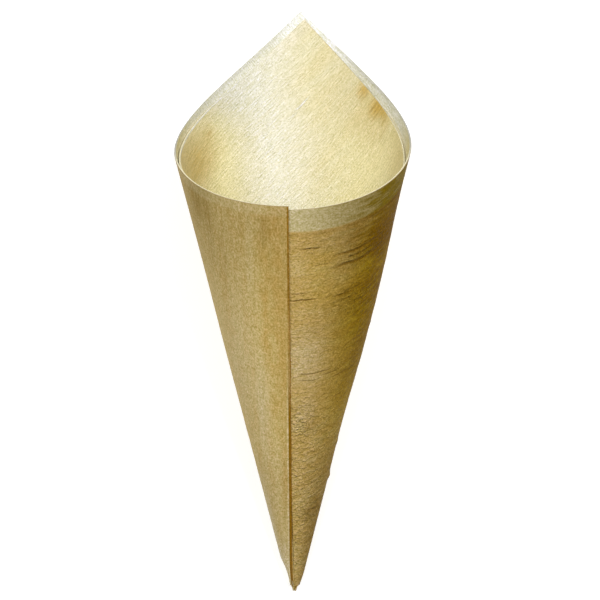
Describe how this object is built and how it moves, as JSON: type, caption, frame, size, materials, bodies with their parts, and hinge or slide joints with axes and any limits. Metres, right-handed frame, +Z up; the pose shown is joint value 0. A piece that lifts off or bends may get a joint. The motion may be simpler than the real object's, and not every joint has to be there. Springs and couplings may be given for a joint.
{
  "type": "wooden food cone",
  "caption": "Open food cone rolled from one sheet of wood veneer, with a pointed double rim and a glued side seam.",
  "frame": {"origin": "middle of the box that the lying cone fills, on the surface that it lies on", "axes": "+Y from the tip towards the mouth and its peak, along the wall that the cone lies on, +Z up towards the seam, +X to the right seen with the tip nearest"},
  "size_m": [0.068, 0.179, 0.0658],
  "materials": {
    "veneer": "unfinished"
  },
  "bodies": {
    "root": {"rolled_veneer": "veneer"}
  },
  "joints": []
}
